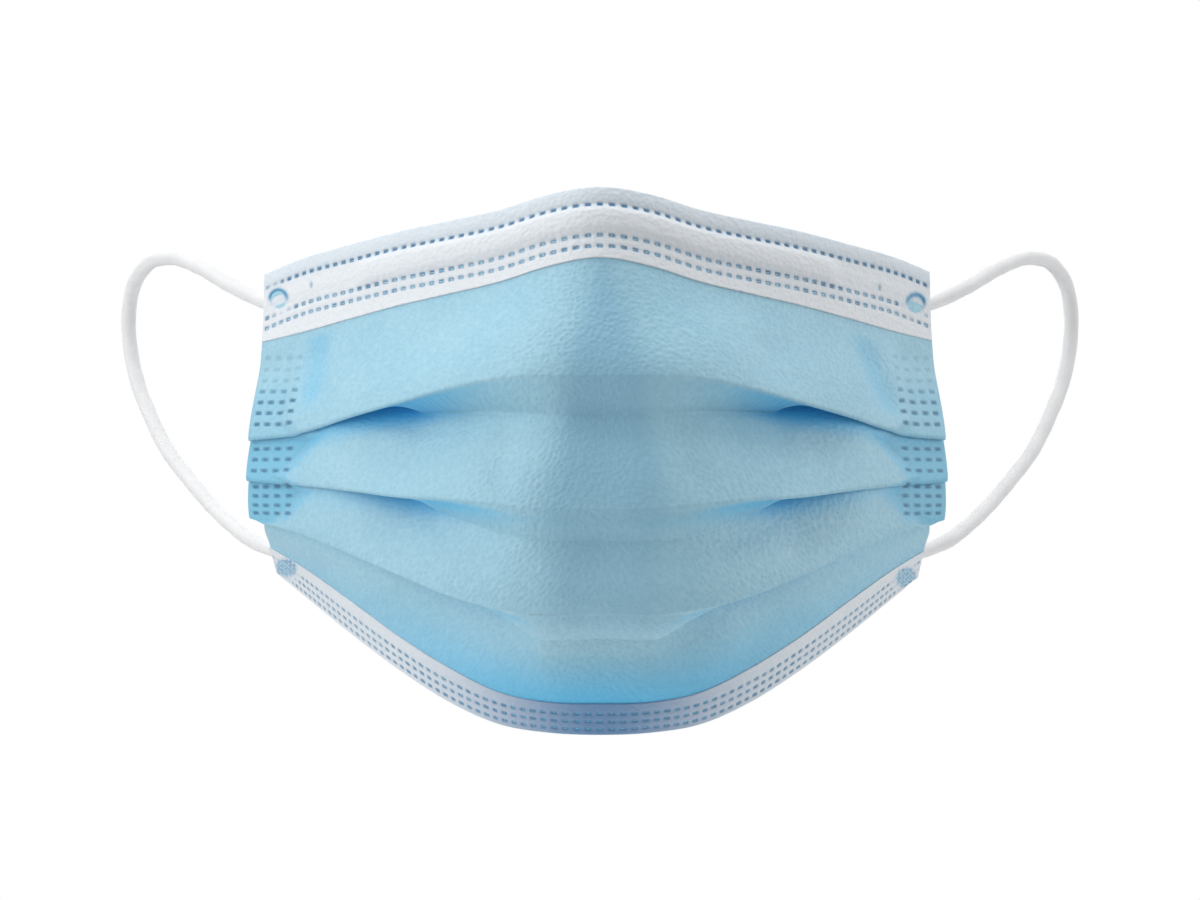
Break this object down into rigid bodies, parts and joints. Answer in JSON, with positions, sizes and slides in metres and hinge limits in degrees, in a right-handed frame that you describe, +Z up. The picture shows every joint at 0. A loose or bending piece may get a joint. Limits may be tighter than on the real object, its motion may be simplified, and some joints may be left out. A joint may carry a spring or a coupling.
{
  "type": "pleated surgical face mask",
  "caption": "Pleated cloth face mask in its worn form, with turned hems, a nose wire and round elastic ear loops.",
  "frame": {"origin": "middle of the cloth at the height of the nose wire, where the mask sits on the bridge of the nose", "axes": "+X across the face, +Y back from the nose to the ears, +Z up"},
  "size_m": [0.1984, 0.1304, 0.1109],
  "materials": {
    "blue_cloth": "matt spunbond with a fine bonded grain",
    "white_cloth": "matt spunbond with rows of weld dots",
    "wire_coat": "white plastic coat over a steel wire",
    "elastic_cord": "round knitted elastic"
  },
  "bodies": {
    "root": {"pleated_panel": "blue_cloth", "top_hem": "white_cloth", "bottom_hem": "white_cloth", "nose_wire": "wire_coat", "ear_loop_left": "elastic_cord", "ear_loop_right": "elastic_cord", "loop_weld_top_left": "elastic_cord", "loop_weld_top_right": "elastic_cord", "loop_weld_bottom_left": "elastic_cord", "loop_weld_bottom_right": "elastic_cord"}
  },
  "joints": []
}
